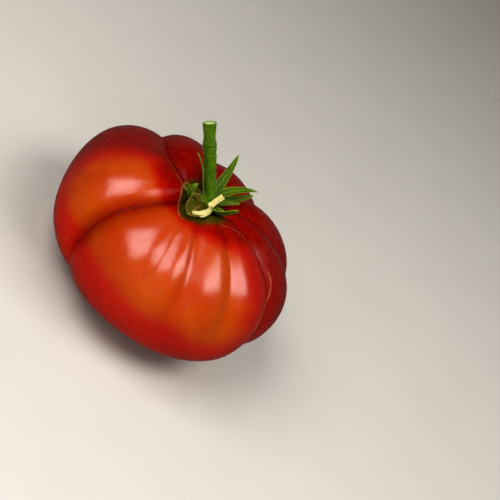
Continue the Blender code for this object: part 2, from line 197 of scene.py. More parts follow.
CUT_SHARES = (0.97, 0.9, 0.7, 0.45, 0.2, 0.04)  # rings of the cut face, as shares of its radius
CUT_HOLLOW = 0.5
CUT_HOLLOW_POWER = 3
CUT_RIM_FALL = 0.5  # how much less pale its rim is than its middle

# Sepals. The tip's width is a share of the width, the slopes are in degrees above level, and the
# sweep is how far the tip lies to the side.
SEPALS = (
    Sepal(16.0, 12.5, 3.4, 0.3, 25.0, 38.0, 30.0, 1.0),
    Sepal(318.0, 17.0, 8.0, 0.3, -5.0, 40.0, 90.0, 4.0),
    Sepal(42.0, 21.0, 5.0, 0.2, 12.0, 24.0, 34.0, 3.0),
    Sepal(60.0, 24.0, 4.2, 0.2, 52.0, 20.0, 4.0, -3.0),
    Sepal(90.0, 24.0, 4.4, 0.2, 30.0, 45.0, 60.0, 3.0),
    Sepal(132.0, 20.0, 4.2, 0.2, 20.0, 45.0, 40.0, -2.0),
    Sepal(204.0, 24.0, 2.6, 0.3, 52.0, 55.0, 32.0, 0.0),
    Sepal(242.0, 22.0, 4.5, 0.3, -5.0, 24.0, 125.0, 0.0),
    Sepal(228.0, 13.5, 8.6, 0.5, 0.0, 5.0, 20.0, -1.0),
    Sepal(266.0, 22.5, 11.0, 0.5, 0.0, 5.0, 10.0, 0.0),
)
OLD_SEPAL_WIDTH = 8.0  # wider ones than this have aged to olive
SEPAL_ROOT = 1.8
SEPAL_ROOT_HEIGHT = 0.9
SEPAL_STATIONS = 56
SEPAL_CUP = 0.22  # how far the margins rise, as a share of the width
SEPAL_WIDEST = 0.3  # share of the length
SEPAL_ROOT_SHARE = 0.6  # width at the root, as a share of the widest
SEPAL_TAPER = 1.6
TIP_START = 0.86  # share of the length where the tip closes in
TIP_LEAST = 0.01

# Blades: sepals and the withered strip
PLACES = np.linspace(-1.0, 1.0, 17)  # points across a blade, as shares of its half width
BLADE_CLEARANCE = 0.6
KEEL_THICKNESS = 0.62
EDGE_THICKNESS = 0.2
BLADE_THINNING = 0.5  # share of the thickness that is gone at the tip
VEIN_PLACES = (0.0, 0.34, 0.64, 0.86)
VEIN_WIDTH = 0.07
VEIN_HEIGHT = 0.1
EDGE_WAVE = 0.05  # share of the width
EDGE_RUFFLE = 0.3
EDGE_WAVELENGTH = 5.0

# Withered strip: (x and y from the stem end, height above the clear skin) of its middle line
STRIP_LINE = (
    (4.2, -0.4, 8.0), (2.8, -3.2, 2.4), (3.8, -9.0, 1.6), (3.6, -14.5, 1.9), (2.0, -18.6, 1.7),
    (-1.0, -20.6, 1.5),
)
STRIP_WIDTHS = (2.6, 2.8, 2.4, 2.8, 2.8, 1.2)
STRIP_STATIONS = 70
STRIP_UNEVEN = 0.2  # share of the width
STRIP_WAVELENGTH = 2.0

# Hairs
HAIR_SEED = 7
HAIR_RADIUS = 0.035
HAIR_SIDES = 3
HAIR_SINK = 0.1
STALK_HAIRS = 1500
SEPAL_HAIRS = 220  # on each sepal
HAIR_LENGTHS = (0.35, 1.1)
HAIR_LEAN = 0.45

# How the height of the skin under the calyx is found
TABLE_TURNS = 360  # one row for each degree of azimuth
TABLE_END = 75.0  # polar angle
TABLE_POLARS = 220
TABLE_STEP = 0.1
TABLE_REACH = 40.0
UNDRAW_STEPS = 6  # rounds to find where a point was before it was drawn over
BALL_SHARES = (0.5, 0.9)  # how far beside a point its gap is tested, as shares of the gap
BALL_TURNS = np.arange(0.0, 360.0, 45.0)

# Light. A lamp's elevation and its turn to the side are those in the picture. The last lamp makes
# no highlight.
LAMPS = (
    Lamp(40.0, -5.0, 840.0, 540.0, 720.0, 5.2, True),
    Lamp(9.5, 52.0, 840.0, 800.0, 370.0, 4.2, True),
    Lamp(-14.0, -8.0, 700.0, 600.0, 220.0, 1.9, False),
)
LAMP_COLOUR = (0.97, 0.98, 1.0)
ROOM_COLOUR = (1.0, 0.98, 0.94, 1.0)
ROOM_STRENGTH = 0.1
FLOOR_SIZE = 6000.0

# Colours. Where there are two, the surface varies between them.
SKIN_RED = ((0.34, 0.004, 0.0, 1.0), (0.4, 0.01, 0.0, 1.0))
SKIN_ORANGE = ((0.36, 0.042, 0.0, 1.0), (0.39, 0.066, 0.0, 1.0))
# painted shade over the back half and round the calyx
SKIN_PAINTED_SHADE = (0.19, 0.001, 0.0, 1.0)
# painted shade in the creases, and a darker line of it along the bottom of the deep ones
SKIN_CREASE_SHADE = (0.14, 0.001, 0.0, 1.0)
SKIN_GROOVE_SHADE = (0.09, 0.001, 0.0, 1.0)
SKIN_FLECK = (0.6, 0.05, 0.0, 1.0)
SKIN_BROWN = colour(112, 42, 3)
SKIN_OLIVE = colour(70, 66, 6)
SKIN_DOT = (0.6, 0.32, 0.1, 1.0)
SKIN_CORK = (0.36, 0.13, 0.03, 1.0)
CORK_TAN = (colour(112, 52, 20), colour(176, 104, 58))
CORK_STAIN = colour(140, 40, 16)
YOUNG_SEPAL = (colour(56, 84, 2), colour(136, 150, 40))  # blade and margin
OLD_SEPAL = (colour(74, 74, 4), colour(140, 112, 46))
STALK_GREEN = (colour(56, 86, 0), colour(78, 104, 2))
STALK_STREAK = colour(118, 138, 22)
STALK_DOT = colour(170, 176, 104)
CUT_FACE = (colour(120, 140, 60), colour(196, 202, 140))  # rim and middle
STRAW_CREAM = (colour(206, 190, 112), colour(238, 230, 170))
STRAW_STAIN = colour(214, 178, 96)
HAIR_TONES = (colour(150, 168, 96), colour(214, 220, 172))
FLOOR_TONES = ((0.5, 0.47, 0.42, 1.0), (0.54, 0.505, 0.45, 1.0))

# Surfaces: sizes of their patches and grain, how finely the grain is divided, depth of the relief,
# and least and greatest roughness
SKIN = Surface(24.0, 3.0, 4.0, 0.012, (0.22, 0.3))
CORK = Surface(3.5, 0.5, 4.0, 0.08, (0.5, 0.75))
SEPAL = Surface(4.0, 0.6, 3.0, 0.05, (0.5, 0.7))
STALK = Surface(6.0, 0.5, 3.0, 0.05, (0.45, 0.65))
STRAW = Surface(2.5, 0.4, 3.0, 0.06, (0.55, 0.75))
PORE_SIZE = 0.5  # the skin's relief is in its pores
SKIN_SPECKS = (2.8, 0.13, 0.12)  # cell, radius as a share of it, share of the cells with a dot
STALK_SPECKS = (1.3, 0.2, 0.35)
STREAK_SIZE = 0.7
STREAK_SCALE = (1.0, 1.0, 0.12)  # long along the stalk
STRAW_FIBRES = (2.2, 1.5)  # how close and how wavy
HAIR_PATCH = 2.0
HAIR_ROUGHNESS = 0.5
HAIR_CLEARNESS = 0.2
FLOOR_PATCH = 40.0
FLOOR_ROUGHNESS = 0.9
SEPAL_DARKNESS = 0.45  # of its dark patches

# Gloss, and light below the surface: its share, how far each colour goes, and its reach in metres
SKIN_GLOSS = (0.66, 0.1)  # on the lobes and in the creases
RIM_GLOSS = 0.15  # share of it that is left beside the calyx
GREEN_GLOSS = 0.15
SKIN_GLOW = (0.2, (1.0, 0.2, 0.1), 0.004)
SEPAL_GLOW = (0.15, (0.5, 1.0, 0.2), 0.001)
STALK_GLOW = (0.1, (0.5, 1.0, 0.2), 0.0015)

MIX_SOCKETS = (0, 6, 7)  # where a mix node has its share and its two colours
MIX_RESULT = 2


def smooth(share):
    """A step from 0 to 1 with no corners."""
    share = np.clip(share, 0.0, 1.0)
    return share * share * (3.0 - 2.0 * share)


def turned(angle):
    """An angle in radians brought between minus pi and pi."""
    return (angle + np.pi) % (2.0 * np.pi) - np.pi


def plan_radius(azimuth):
    """A smooth closed curve through PLAN_RADII, by its Fourier sum."""
    count = len(PLAN_RADII)
    terms = np.fft.rfft(PLAN_RADII) / count
    radius = np.full_like(azimuth, terms[0].real)
    for k in range(1, len(terms)):
        weight = 2.0 if 2 * k < count else 1.0
        wave = terms[k].real * np.cos(k * azimuth) - terms[k].imag * np.sin(k * azimuth)
        radius = radius + weight * wave
    return radius


def crease_line(crease, polar):
    """Azimuth of a crease at each polar angle: it bends above the equator."""
    above = np.maximum(np.cos(polar), 0.0)
    return math.radians(crease.azimuth) + math.radians(crease.bend) * above * above


def crease_fade(crease, polar):
    """1 along a crease, down to 0 where it has gone below the equator."""
    return 1.0 - smooth((np.degrees(polar) - crease.fades) / (crease.gone - crease.fades))


def crease_share(azimuth, polar):
    """How much of the radius the creases take away at each point."""
    taken = np.zeros_like(azimuth)
    start = smooth((np.degrees(polar) - CREASE_START) / (CREASE_FULL - CREASE_START))
    for crease in CREASES:
        off = turned(azimuth - crease_line(crease, polar))
        width = np.where(off < 0.0, math.radians(crease.before), math.radians(crease.after))
        valley = np.exp(-((np.abs(off) / width) ** crease.sharpness))
        taken = taken + crease.depth * valley * crease_fade(crease, polar) * start
    return taken


def body_radius(azimuth, polar):
    """Distance of the skin from the body's centre, without the low relief."""
    level = np.cos(polar)
    height = np.where(level > 0.0, SHOULDER_HEIGHT, BASE_DEPTH)
    upper = smooth(0.5 + 0.5 * level / BLEND_HEIGHT)
    power = BASE_POWER + (SHOULDER_POWER - BASE_POWER) * upper
    across = (np.sin(polar) / plan_radius(azimuth)) ** power
    along = (np.abs(level) / height) ** power
    radius = (across + along) ** (-1.0 / power)
    radius = radius * (1.0 - crease_share(azimuth, polar))
    return radius - CAVITY_DEPTH * np.exp(-((polar / math.radians(CAVITY_ANGLE)) ** CAVITY_POWER))


def direction_of(azimuth, polar):
    """Unit vectors from the body's centre."""
    across = np.sin(polar)
    return np.stack([across * np.cos(azimuth), across * np.sin(azimuth), np.cos(polar)], axis=-1)


def lumps(points, wavelength, seed=0.0):
    """Smooth noise between about -1 and 1 at each point."""
    flat = points.reshape(-1, 3) / wavelength + seed
    return np.reshape([noise.noise(p) for p in flat.tolist()], points.shape[:-1])


def noises(points, waves):
    """The sum of a few smooth noises, each given by its height, wavelength and seed."""
    return sum(height * lumps(points, wavelength, seed) for height, wavelength, seed in waves)


def ripples(azimuth, polar):
    """Fine waves that run down the shoulder."""
    around = np.stack([np.cos(azimuth), np.sin(azimuth), RIPPLE_DRIFT * polar], axis=-1)
    fade = smooth((RIPPLE_END - np.degrees(polar)) / RIPPLE_FADE) * np.sin(polar) ** 2
    return fade * lumps(around, 1.0 / RIPPLE_TURNS, RIPPLE_SEED)


def centred_point(azimuth, polar, lift=0.0):
    """Points of the skin, raised by a lift, before the stem end is drawn over."""
    towards = direction_of(azimuth, polar)
    radius = body_radius(azimuth, polar)
    radius = radius + noises(towards * radius[..., None], LUMPS)
    radius = radius + RIPPLE_HEIGHT * ripples(azimuth, polar)
    points = towards * (radius + lift)[..., None]
    points[..., 2] = np.maximum(points[..., 2] + BASE_DEPTH - FLAT_SPOT_CUT, 0.0)
    return points


def drawn_share(x, y):
    """How much of the stem end's offset a point of the upper half takes."""
    return 1.0 - smooth(np.hypot(x, y) / STEM_REACH)


def scar_share(points):
    """1 in the middle of the blossom scar, fading to 0 outside it."""
    reach = np.hypot(points[..., 0], points[..., 1])
    return (1.0 - smooth(reach / SCAR_RADIUS)) * (points[..., 2] < BASE_DEPTH)


def skin_point(azimuth, polar, lift=0.0):
    """Points of the finished skin, raised by a lift."""
    points = centred_point(azimuth, polar, lift)
    share = drawn_share(points[..., 0], points[..., 1]) * (points[..., 2] > BASE_DEPTH)
    points[..., :2] += share[..., None] * np.array(STEM_OFFSET)
    points[..., 2] += SCAR_DEPTH * scar_share(points) ** 2
    return points


def height_table():
    """Heights of the skin, before drawing over, by whole degrees of azimuth and steps of reach."""
    turns = np.radians(np.arange(TABLE_TURNS))
    polar = np.radians(np.linspace(0.0, TABLE_END, TABLE_POLARS))
    lines = centred_point(*np.meshgrid(turns, polar, indexing="ij"))
    reaches = np.arange(0.0, TABLE_REACH, TABLE_STEP)
    rows = [np.interp(reaches, np.hypot(line[:, 0], line[:, 1]), line[:, 2]) for line in lines]
    return np.array(rows)


def skin_height(x, y):
    """Height of the cavity or shoulder above each point (x, y) near the stem end."""
    before_x, before_y = x, y
    for _ in range(UNDRAW_STEPS):
        share = drawn_share(before_x, before_y)
        before_x, before_y = x - share * STEM_OFFSET[0], y - share * STEM_OFFSET[1]
    turn = np.degrees(np.arctan2(before_y, before_x)) % TABLE_TURNS
    place = np.minimum(np.hypot(before_x, before_y) / TABLE_STEP, HEIGHTS.shape[1] - 2.0)
    row, column = turn.astype(int) % TABLE_TURNS, place.astype(int)
    after, beyond = (row + 1) % TABLE_TURNS, column + 1
    t, u = turn - np.floor(turn), place - column
    near = HEIGHTS[row, column] * (1.0 - u) + HEIGHTS[row, beyond] * u
    far = HEIGHTS[after, column] * (1.0 - u) + HEIGHTS[after, beyond] * u
    return near * (1.0 - t) + far * t


def clear_height(x, y, gap):
    """Lowest height over (x, y) that is a gap away from the skin, also beside a steep wall."""
    height = skin_height(x, y) + gap
    for share in BALL_SHARES:
        reach = gap * share
        rise = gap * math.sqrt(1.0 - share * share)
        for turn in np.radians(BALL_TURNS):
            beside = skin_height(x + reach * np.cos(turn), y + reach * np.sin(turn))
            height = np.maximum(height, beside + rise)
    return height


def curve_through(guide, count):
    """A smooth curve of that many points through a few (Catmull-Rom)."""
    guide = np.asarray(guide, dtype=float)
    ends = np.vstack([2.0 * guide[0] - guide[1], guide, 2.0 * guide[-1] - guide[-2]])
    shares = np.linspace(0.0, len(guide) - 1.0, count)
    start = np.minimum(shares.astype(int), len(guide) - 2)
    t = (shares - start)[:, None]
    a, b, c, d = (ends[start + k] for k in range(4))
    square = 2.0 * a - 5.0 * b + 4.0 * c - d
    cube = 3.0 * (b - c) + d - a
    return b + 0.5 * t * (c - a + t * (square + t * cube))


def azimuth_grid(polar):
    """Azimuths for rows of polar angles: a column along each crease, and closer ones beside it."""
    lines = [crease_line(crease, polar) for crease in CREASES]
    lines.append(lines[0] + 2.0 * math.pi)
    columns = []
    for before, after in zip(lines, lines[1:]):
        count = round(math.degrees(after[-1] - before[-1]) / COLUMN_STEP)
        even = np.arange(count) / count
        crowded = 0.5 - 0.5 * np.cos(math.pi * even)
        for share in even + COLUMN_PULL * (crowded - even):
            columns.append(before + (after - before) * share)
    return np.stack(columns, axis=-1)


def fruit_rows():
    """Polar angles of the fruit's rows, without the two poles."""
    edge = math.radians(CAVITY_EDGE)
    cavity = np.linspace(0.0, edge, CAVITY_ROWS + 1)[1:]
    side = np.linspace(edge, math.pi, SIDE_ROWS + 2)[1:-1]
    return np.concatenate([cavity, side])


def add_piece(name, points, faces, material, replaced):
    """A piece from points in millimetres, which rides on the part and stands for a node."""
    mesh = bpy.data.meshes.new(name)
    mesh.from_pydata((points * MM).tolist(), [], faces)
    mesh.materials.append(material)
    mesh.shade_smooth()
    piece = bpy.data.objects.new(name, mesh)
    bpy.context.scene.collection.objects.link(piece)
    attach(piece, BODY)
    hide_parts(replaced)
    return piece


def add_values(piece, name, values):
    """A number for each point of a piece, which its material reads."""
    layer = piece.data.attributes.new(name, "FLOAT", "POINT")
    layer.data.foreach_set("value", np.ravel(values).astype(np.float32))


def ring_faces(rows, width):
    """Quads between rings of points that turn to the left, going down."""
    faces = []
    for row in range(rows - 1):
        for i in range(width):
            j = (i + 1) % width
            a, b = row * width, (row + 1) * width
            faces.append((a + i, b + i, b + j, a + j))
    return faces


def olive_share(azimuth, polar):
    """How olive the skin round the calyx is."""
    turns, edges = zip(*OLIVE_EDGE)
    edge = np.interp(np.degrees(azimuth) % 360.0, turns, edges, period=360.0)
    return smooth((edge - np.degrees(polar)) / OLIVE_FADE + 0.5)


def side_share(azimuth, middle, width, fade):
    """1 within a width to each side of an azimuth in degrees, fading to 0 beyond it."""
    off = np.degrees(np.abs(turned(azimuth - math.radians(middle))))
    return 1.0 - smooth((off - width) / fade)


def past(polar, edge):
    """0 before a polar angle, then up to 1 over the second angle of the edge."""
    return smooth((np.degrees(polar) - edge[0]) / edge[1])


def sun_share(azimuth, polar):
    """How far the skin is inside the orange band, which is partly riper skin and partly painted
    light.
    """
    band = past(polar, SUN_TOP) * (1.0 - past(polar, SUN_BOTTOM))
    return side_share(azimuth, SUN_AZIMUTH, SUN_WIDTH, SUN_FADE) * band


def rim_share(polar):
    """1 beside the calyx, fading to 0 down the shoulder."""
    return 1.0 - past(polar, RIM_END)


def painted_shade_share(azimuth, polar):
    """Painted shade: how much darker red is painted on the back half and round the calyx."""
    side = side_share(azimuth, SHADE_AZIMUTH, SHADE_WIDTH, SHADE_FADE)
    return np.maximum(side * (1.0 - past(polar, SHADE_BOTTOM)), rim_share(polar))


def groove_share(azimuth, polar):
    """Painted shade line: 1 along each deep crease's bottom, fading to 0 beside it."""
    share = np.zeros_like(azimuth)
    for crease in CREASES:
        if crease.depth >= GROOVE_DEPTH:
            off = np.degrees(turned(azimuth - crease_line(crease, polar))) * np.sin(polar)
            line = np.exp(-((off / GROOVE_WIDTH) ** 2)) * crease_fade(crease, polar)
            share = np.maximum(share, line)
    return share


def halo_share(points):
    """1 at a seam, fading to 0 beside it."""
    nearest = np.full(len(points), np.inf)
    for seam in SEAMS:
        azimuth, polar = np.radians(curve_through(seam.guide, SEAM_POINTS)).T
        for spot in skin_point(azimuth, polar):
            nearest = np.minimum(nearest, ((points - spot) ** 2).sum(axis=-1))
    return 1.0 - smooth(np.sqrt(nearest) / HALO_WIDTH)


def build_fruit(material):
    """The skin, as one closed surface of rings between the two poles."""
    rows = fruit_rows()
    azimuth = azimuth_grid(rows)
    count, width = azimuth.shape
    polar = np.repeat(rows[:, None], width, axis=1)
    azimuth = np.append(azimuth.ravel(), [0.0, 0.0])
    polar = np.append(polar.ravel(), [0.0, math.pi])
    points = skin_point(azimuth, polar)
    faces = ring_faces(count, width)
    top, bottom = count * width, count * width + 1
    last = (count - 1) * width
    for i in range(width):
        j = (i + 1) % width
        faces.append((top, i, j))
        faces.append((bottom, last + j, last + i))
    fruit = add_piece("fruit_skin", points, faces, material, "fruit")
    # crease depth, which sets the gloss and the painted shade in the creases
    add_values(fruit, "crease", crease_share(azimuth, polar) / DEEPEST)
    add_values(fruit, "groove", groove_share(azimuth, polar))
    add_values(fruit, "olive", olive_share(azimuth, polar))
    # the orange band: partly riper skin, partly painted light
    add_values(fruit, "sun", sun_share(azimuth, polar))
    # painted shade over the back half and round the calyx
    add_values(fruit, "shade", painted_shade_share(azimuth, polar))
    add_values(fruit, "rim", rim_share(polar))
    add_values(fruit, "cork", np.maximum(HALO_CORK * halo_share(points), scar_share(points)))


def add_tube(name, rings, material, replaced):
    """A closed tube through rings of points, with a flat face over each end."""
    count, width = rings.shape[:2]
    faces = ring_faces(count, width)
    faces.append(tuple(range(width)))
    faces.append(tuple(range(count * width - 1, (count - 1) * width - 1, -1)))
    piece = add_piece(name, rings.reshape(-1, 3), faces, material, replaced)
    shape = bmesh.new()
    shape.from_mesh(piece.data)
    bmesh.ops.recalc_face_normals(shape, faces=shape.faces)
    shape.to_mesh(piece.data)
    shape.free()
    return piece


def build_seam(seam, material):
    """A low, uneven ridge of cork along the skin."""
    azimuth, polar = np.radians(curve_through(seam.guide, SEAM_POINTS)).T
    middle = skin_point(azimuth, polar)
    shares = np.linspace(0.0, 1.0, SEAM_POINTS)
    ends = np.sqrt(np.maximum(1.0 - (2.0 * shares - 1.0) ** SEAM_END_POWER, SEAM_END_LEAST))
    uneven = ends * (1.0 + noises(middle, SEAM_WAVES))
    over = np.array(SEAM_PLACES)
    aside = 0.5 * seam.width * uneven[:, None] * over / body_radius(azimuth, polar)[:, None]
    around, down = np.gradient(azimuth) * np.sin(polar), np.gradient(polar)
    pace = np.hypot(around, down)
    azimuths = azimuth[:, None] - aside * (down / pace / np.sin(polar))[:, None]
    polars = polar[:, None] + aside * (around / pace)[:, None]
    crown = seam.height * uneven[:, None] * (1.0 - over ** 2)
    top = skin_point(azimuths, polars, crown)
    below = skin_point(azimuths[:, ::-1], polars[:, ::-1], np.full(crown.shape, -SEAM_SINK))
    add_tube(seam.name, np.concatenate([top, below], axis=1), material, "fruit")


def heading_of(azimuth):
    """Unit vectors outwards and sideways for an azimuth in degrees."""
    turn = math.radians(azimuth)
    out = np.array([math.cos(turn), math.sin(turn), 0.0])
    side = np.array([-math.sin(turn), math.cos(turn), 0.0])
    return out, side


def receptacle_base():
    """Middle of the receptacle, level with the skin under its rim."""
    return np.array([*STEM_OFFSET, foot_ring(1.0)[:, 2].max()])


def stalk_path(base):
    """Centre points of the stalk and its direction at each."""
    shares = np.linspace(0.0, 1.0, STALK_RINGS)
    lean = math.radians(STALK_LEAN) * smooth(shares / STALK_BEND_SHARE)
    out = heading_of(STALK_AZIMUTH)[0]
    directions = np.sin(lean)[:, None] * out + np.cos(lean)[:, None] * np.array([0.0, 0.0, 1.0])
    steps = np.cumsum(directions[:-1], axis=0) * STALK_LENGTH / (STALK_RINGS - 1)
    centres = base + [0.0, 0.0, RECEPTACLE_HEIGHT] + np.vstack([np.zeros(3), steps])
    return centres, directions


def stalk_radius(share):
    """Radius at a share of the stalk's length: its flared foot, its joint and its cut end."""
    flare = FLARE_RADIUS * math.exp(-share * STALK_LENGTH / FLARE_HEIGHT)
    off = share - KNUCKLE_PLACE
    knuckle = KNUCKLE_RADIUS * math.exp(-((off / KNUCKLE_SHARE) ** 2))
    groove = KNUCKLE_GROOVE * math.exp(-((off / KNUCKLE_GROOVE_SHARE) ** 2))
    end = STALK_END_FLARE * smooth(1.0 - (1.0 - share) / STALK_END_SHARE)
    return STALK_RADIUS + flare + knuckle - groove + end


def stalk_ring(centre, direction, radius):
    """One ring square to a direction, starting on its +X side and turning to the left."""
    ahead = np.cross(direction, [1.0, 0.0, 0.0])
    ahead = ahead / np.linalg.norm(ahead)
    side = np.cross(ahead, direction)
    turns = 2.0 * math.pi * np.arange(STALK_SIDES) / STALK_SIDES
    ridges = RIDGE_HEIGHT * np.cos(RIDGES * turns + RIDGE_TWIST * centre[2])
    ridges = ridges * min(1.0, radius / STALK_RADIUS)
    spots = np.cos(turns)[:, None] * side + np.sin(turns)[:, None] * ahead
    uneven = noises(centre + radius * spots, STALK_WAVES)
    return centre + (radius + ridges + uneven)[:, None] * spots


def foot_ring(share):
    """One ring under the receptacle, a gap above the cavity's floor."""
    stem = np.array([*STEM_OFFSET, 0.0])
    ring = stalk_ring(stem, np.array([0.0, 0.0, 1.0]), RECEPTACLE_RADIUS * share)
    ring[:, 2] = clear_height(ring[:, 0], ring[:, 1], FRUIT_GAP)
    return ring


def build_stalk(base, material):
    """The receptacle, its flared foot, the stalk with its joint, and the hollowed cut face."""
    centres, directions = stalk_path(base)
    shares = np.linspace(0.0, 1.0, STALK_RINGS)
    rings = [foot_ring(share) for share in FOOT_SHARES]
    for centre, direction, share in zip(centres, directions, shares):
        rings.append(stalk_ring(centre, direction, stalk_radius(share)))
    rim = rings[-1]
    for share in CUT_SHARES:
        sunk = directions[-1] * CUT_HOLLOW * (1.0 - share ** CUT_HOLLOW_POWER)
        rings.append(centres[-1] + (rim - centres[-1]) * share - sunk)
    stalk = add_tube("stalk", np.array(rings), material, "calyx_and_stalk")
    uncut = np.zeros(len(FOOT_SHARES) + STALK_RINGS)
    cut = np.append(uncut, 1.0 - np.array(CUT_SHARES) * CUT_RIM_FALL)
    add_values(stalk, "cut", np.repeat(cut, STALK_SIDES))
    return stalk


def sepal_width(sepal, share):
    """Full width of a sepal at a share of its length, narrowing to a closed tip."""
    closing = max(share - TIP_START, 0.0) / (1.0 - TIP_START)
    tip = math.sqrt(max(1.0 - closing ** 2, TIP_LEAST))
    if share < SEPAL_WIDEST:
        swell = float(smooth(share / SEPAL_WIDEST))
        return sepal.width * (SEPAL_ROOT_SHARE + (1.0 - SEPAL_ROOT_SHARE) * swell)
    beyond = (share - SEPAL_WIDEST) / (1.0 - SEPAL_WIDEST)
    return sepal.width * (1.0 - (1.0 - sepal.tip_share) * beyond ** SEPAL_TAPER) * tip


def lifted_clear(points):
    """The points, raised where they would be too near the skin for a blade."""
    floor = clear_height(points[..., 0], points[..., 1], BLADE_CLEARANCE)
    return np.concatenate([points[..., :2], np.maximum(points[..., 2], floor)[..., None]], axis=-1)


def sepal_middle(base, sepal):
    """Rows of points across a sepal's middle surface, clear of the skin below it."""
    out, side = heading_of(sepal.azimuth)
    slopes = (sepal.root_slope, sepal.middle_slope, sepal.tip_slope)
    steps = SEPAL_STATIONS - 1
    spot = base + out * SEPAL_ROOT + [0.0, 0.0, SEPAL_ROOT_HEIGHT]
    rows = []
    for share in np.linspace(0.0, 1.0, SEPAL_STATIONS):
        across = sepal_width(sepal, share)
        edge = spot + 0.5 * across * np.sign(PLACES)[:, None] * side
        wave = 1.0 + EDGE_WAVE * lumps(edge, EDGE_WAVELENGTH, sepal.azimuth)
        row = spot + 0.5 * across * (PLACES * wave)[:, None] * side
        row[:, 2] += SEPAL_CUP * across * PLACES * PLACES
        ruffle = lumps(edge, EDGE_WAVELENGTH, 2.0 * sepal.azimuth)
        row[:, 2] += share * EDGE_RUFFLE * PLACES ** 2 * ruffle
        rows.append(lifted_clear(row))
        slope = math.radians(float(np.interp(share, (0.0, 0.5, 1.0), slopes)))
        ahead = out * math.cos(slope) + np.array([0.0, 0.0, math.sin(slope)])
        drift = side * 2.0 * sepal.sweep * share / steps
        spot = rows[-1][len(PLACES) // 2] + ahead * sepal.length / steps + drift
    return np.array(rows)


def strip_middle(base):
    """Rows of points across the withered strip, which bends round the receptacle's front."""
    guide = np.array(STRIP_LINE)
    guide[:, :2] += STEM_OFFSET
    guide[:, 2] += clear_height(guide[:, 0], guide[:, 1], BLADE_CLEARANCE)
    line = curve_through(guide, STRIP_STATIONS)
    shares = np.linspace(0.0, len(guide) - 1.0, STRIP_STATIONS)
    widths = np.interp(shares, range(len(guide)), STRIP_WIDTHS)
    widths = widths * (1.0 + STRIP_UNEVEN * lumps(line, STRIP_WAVELENGTH))
    ahead = np.gradient(line, axis=0)
    facing = line - (base - [0.0, 0.0, RECEPTACLE_RADIUS])
    across = np.cross(facing, ahead)
    across = across / np.linalg.norm(across, axis=1, keepdims=True)
    places = 0.5 * widths[:, None, None] * PLACES[None, :, None]
    return lifted_clear(line[:, None, :] + places * across[:, None, :])


def vein_relief(shares):
    """Height of the veins at each place across a blade, dying out along its length."""
    height = np.zeros(len(PLACES))
    for place in VEIN_PLACES:
        height = height + np.exp(-(((np.abs(PLACES) - place) / VEIN_WIDTH) ** 2))
    return VEIN_HEIGHT * height[None, :] * (1.0 - shares[:, None] ** 2)


def build_blade(name, middle, material):
    """A thin blade round a middle surface, thickest along its keel and veined on both faces."""
    shares = np.linspace(0.0, 1.0, len(middle))
    normal = np.cross(np.gradient(middle, axis=0), np.gradient(middle, axis=1))
    normal = normal / np.linalg.norm(normal, axis=-1, keepdims=True)
    thick = EDGE_THICKNESS + (KEEL_THICKNESS - EDGE_THICKNESS) * (1.0 - PLACES ** 2)
    half = 0.5 * thick[None, :] * (1.0 - BLADE_THINNING * shares[:, None])
    relief = vein_relief(shares)
    over = middle + normal * (half - relief)[..., None]
    under = middle - normal * (half + relief)[..., None]
    rings = np.concatenate([over, under[:, ::-1]], axis=1)
    blade = add_tube(name, rings, material, "calyx_and_stalk")
    across = np.concatenate([PLACES, PLACES[::-1]])
    add_values(blade, "across", np.tile(across, len(middle)))
    add_values(blade, "along", np.repeat(shares, len(across)))
    return blade


def random_spot(draw, corners):
    """A spot anywhere on a triangle."""
    first, second = sorted((draw.random(), draw.random()))
    return corners[0] * first + corners[1] * (second - first) + corners[2] * (1.0 - second)


def add_spike(points, faces, foot, grow, length):
    """A thin closed spike from just below its foot."""
    start = len(points)
    tip = start + HAIR_SIDES
    side = grow.orthogonal().normalized() * HAIR_RADIUS
    for k in range(HAIR_SIDES):
        turn = Matrix.Rotation(math.tau * k / HAIR_SIDES, 3, grow)
        points.append(foot - grow * HAIR_SINK + turn @ side)
        faces.append((start + k, start + (k + 1) % HAIR_SIDES, tip))
    points.append(foot + grow * length)
    faces.append(tuple(range(tip - 1, start - 1, -1)))


def build_hairs(pieces, material):
    """Short fine hairs, which stand on the faces of the stalk and the sepals."""
    draw = random.Random(HAIR_SEED)
    points = []
    faces = []
    for piece, count in pieces:
        mesh = piece.data
        for face in draw.choices(mesh.polygons, k=count):
            foot = random_spot(draw, [mesh.vertices[k].co / MM for k in face.vertices[:3]])
            lean = Vector([draw.gauss(0.0, HAIR_LEAN) for _ in range(3)])
            grow = (face.normal + lean).normalized()
            add_spike(points, faces, foot, grow, draw.uniform(*HAIR_LENGTHS))
    add_piece("calyx_hairs", np.array(points), faces, material, "calyx_and_stalk")


def build_calyx():
    """The stalk, the sepals, the withered strip and the hairs on them."""
    base = receptacle_base()
    stalk = build_stalk(base, stalk_material())
    young = sepal_material("young_sepal", *YOUNG_SEPAL)
    old = sepal_material("old_sepal", *OLD_SEPAL)
    haired = [(stalk, STALK_HAIRS)]
    for index, sepal in enumerate(SEPALS):
        material = old if sepal.width > OLD_SEPAL_WIDTH else young
        blade = build_blade(f"sepal_{index}", sepal_middle(base, sepal), material)
        haired.append((blade, SEPAL_HAIRS))
    build_blade("withered_strip", strip_middle(base), straw_material())
    build_hairs(haired, hair_material())


def feed(socket, value):
    """Links a socket to another, or sets it to a value."""
    if isinstance(value, bpy.types.NodeSocket):
        socket.id_data.links.new(value, socket)
    else:
        socket.default_value = value


def add_node(tree, kind, inputs=None, **settings):
    """A shader node. An input given as a socket is linked, and any other is set."""
    made = tree.nodes.new("ShaderNode" + kind)
    for name, value in settings.items():
        setattr(made, name, value)
    for name, value in (inputs or {}).items():
        feed(made.inputs[name], value)
    return made


def new_material(name):
    """A material and its Principled shader."""
    material = bpy.data.materials.new(name)
    material.use_nodes = True
    return material, material.node_tree, material.node_tree.nodes["Principled BSDF"]


def mix(share, first, second):
    """The colour between two, by a share."""
    made = add_node(share.id_data, "Mix", data_type="RGBA")
    for place, value in zip(MIX_SOCKETS, (share, first, second)):
        feed(made.inputs[place], value)
    return made.outputs[MIX_RESULT]


